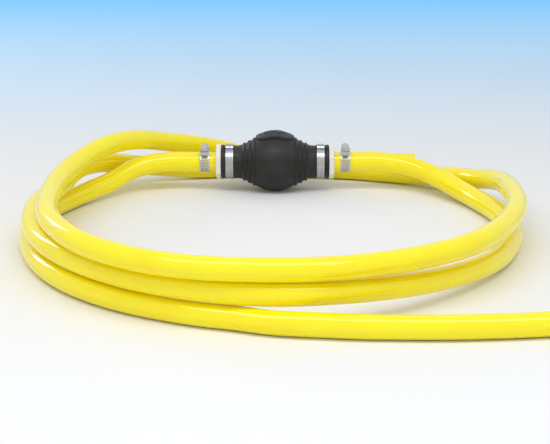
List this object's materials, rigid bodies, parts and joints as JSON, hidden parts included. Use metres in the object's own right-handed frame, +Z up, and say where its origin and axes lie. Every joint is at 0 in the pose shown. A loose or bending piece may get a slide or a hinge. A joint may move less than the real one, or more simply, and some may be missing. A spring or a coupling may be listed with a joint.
{
  "type": "siphon bulb pump",
  "caption": "In-line hand siphon: a black rubber squeeze bulb between spring-loaded ball check valves, with coiled clear yellow vinyl suction and discharge hoses.",
  "frame": {"origin": "lowest point of the bulb's belly, midway along the bulb, on the floor that the pump lies on", "axes": "+X along the bulb in the direction of flow, +Z up, -Y towards the coiled hose"},
  "size_m": [0.523, 0.5045, 0.0593],
  "materials": {
    "bulb_rubber": "moulded nitrile rubber, satin, slightly dusty",
    "pad_rubber": "moulded nitrile rubber, fine pebble grain",
    "valve_plastic": "natural acetal, satin",
    "insert_plastic": "natural acetal",
    "seat_rubber": "fluorocarbon rubber",
    "ball_steel": "polished stainless steel",
    "spring_steel": "drawn stainless wire",
    "ear_clamp_steel": "bright stainless strip",
    "band_steel": "bright stainless strip",
    "housing_steel": "pressed stainless sheet",
    "screw_steel": "zinc-plated steel",
    "yellow_vinyl": "translucent yellow flexible vinyl, glossy"
  },
  "bodies": {
    "root": {"bulb": "bulb_rubber", "inlet_valve_body": "valve_plastic", "outlet_valve_body": "valve_plastic", "inlet_seat_ring": "seat_rubber", "outlet_seat_ring": "seat_rubber", "inlet_spring": "spring_steel", "outlet_spring": "spring_steel", "inlet_spring_retainer": "insert_plastic", "outlet_seat_insert": "insert_plastic", "inlet_ear_clamp": "ear_clamp_steel", "outlet_ear_clamp": "ear_clamp_steel", "suction_clamp_band": "band_steel", "suction_clamp_housing": "housing_steel", "discharge_clamp_band": "band_steel", "discharge_clamp_housing": "housing_steel", "suction_hose_cuff": "yellow_vinyl", "suction_hose_coil": "yellow_vinyl", "suction_hose_tail": "yellow_vinyl", "suction_hose_end": "yellow_vinyl", "discharge_hose_cuff": "yellow_vinyl", "discharge_hose_coil": "yellow_vinyl", "discharge_hose_end": "yellow_vinyl"},
    "squeeze_pad": {"squeeze_pad": "pad_rubber"},
    "inlet_ball": {"inlet_ball": "ball_steel"},
    "outlet_ball": {"outlet_ball": "ball_steel"},
    "suction_screw": {"suction_clamp_screw": "screw_steel"},
    "discharge_screw": {"discharge_clamp_screw": "screw_steel"}
  },
  "joints": [
    {"name": "bulb_squeeze", "type": "slide", "parent": "root", "child": "squeeze_pad", "axis": [0, 0, -1], "range_m": [0, 0.008], "stiffness_N_per_m": 5000, "deforming": ["bulb"]},
    {"name": "inlet_valve_lift", "type": "slide", "parent": "root", "child": "inlet_ball", "axis": [1, 0, 0], "range_m": [0, 0.003], "stiffness_N_per_m": 40, "springref_m": -0.003, "deforming": ["inlet_spring"]},
    {"name": "outlet_valve_lift", "type": "slide", "parent": "root", "child": "outlet_ball", "axis": [1, 0, 0], "range_m": [0, 0.003], "stiffness_N_per_m": 40, "springref_m": -0.003, "deforming": ["outlet_spring"]},
    {"name": "suction_clamp_screw_turn", "type": "hinge", "parent": "root", "child": "suction_screw", "pos_m": [-0.065, 0, 0.03897], "axis": [0, 1, 0], "continuous": true},
    {"name": "discharge_clamp_screw_turn", "type": "hinge", "parent": "root", "child": "discharge_screw", "pos_m": [0.065, 0, 0.03897], "axis": [0, 1, 0], "continuous": true}
  ]
}
